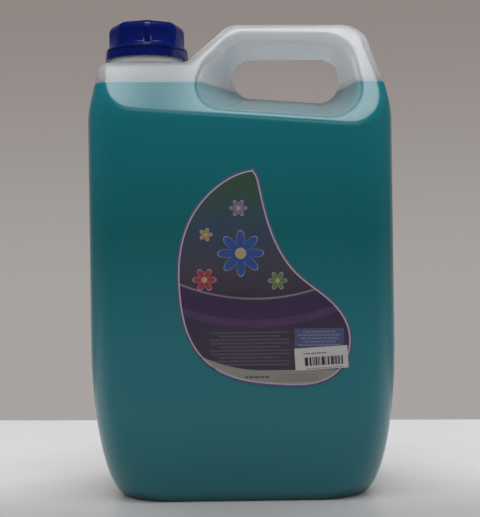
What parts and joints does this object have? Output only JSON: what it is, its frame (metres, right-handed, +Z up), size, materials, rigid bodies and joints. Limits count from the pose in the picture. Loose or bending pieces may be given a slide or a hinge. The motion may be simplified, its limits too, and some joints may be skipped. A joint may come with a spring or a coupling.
{
  "type": "laundry detergent bottle",
  "caption": "Blow-moulded translucent plastic bottle with an offset screw cap, a hollow through-handle, teal liquid and a leaf-shaped front label; stands upright and pours.",
  "frame": {"origin": "bottom centre of the overall box, on the surface the bottle stands on", "axes": "+Z up, -Y out of the labelled front face, +X towards the handle side"},
  "size_m": [0.1816, 0.1278, 0.2888],
  "materials": {
    "shell": "natural milky polyethylene, soft gloss, translucent",
    "closure": "glossy dark blue polypropylene",
    "liner": "white polyethylene foam",
    "liquid": "clear teal liquid, modelled as a solid",
    "label": "printed film label, soft gloss",
    "sticker": "white paper sticker"
  },
  "bodies": {
    "bottle_body": {"bottle": "shell", "tamper_ring": "closure", "detergent": "liquid", "front_label": "label", "code_sticker": "sticker"},
    "liner_body": {"cap_liner": "liner"},
    "cap_body": {"cap": "closure"}
  },
  "joints": [
    {"name": "cap_lift", "type": "slide", "parent": "bottle_body", "child": "liner_body", "axis": [0, 0, 1], "range_m": [0, 0.0144]},
    {"name": "cap_turn", "type": "hinge", "parent": "liner_body", "child": "cap_body", "pos_m": [-0.058, 0, 0.2866], "axis": [0, 0, 1], "range_deg": [0, 1080]}
  ],
  "couplings": [
    {"joint": "cap_lift", "follows": "cap_turn", "m_per_rad": 0.00076394}
  ]
}
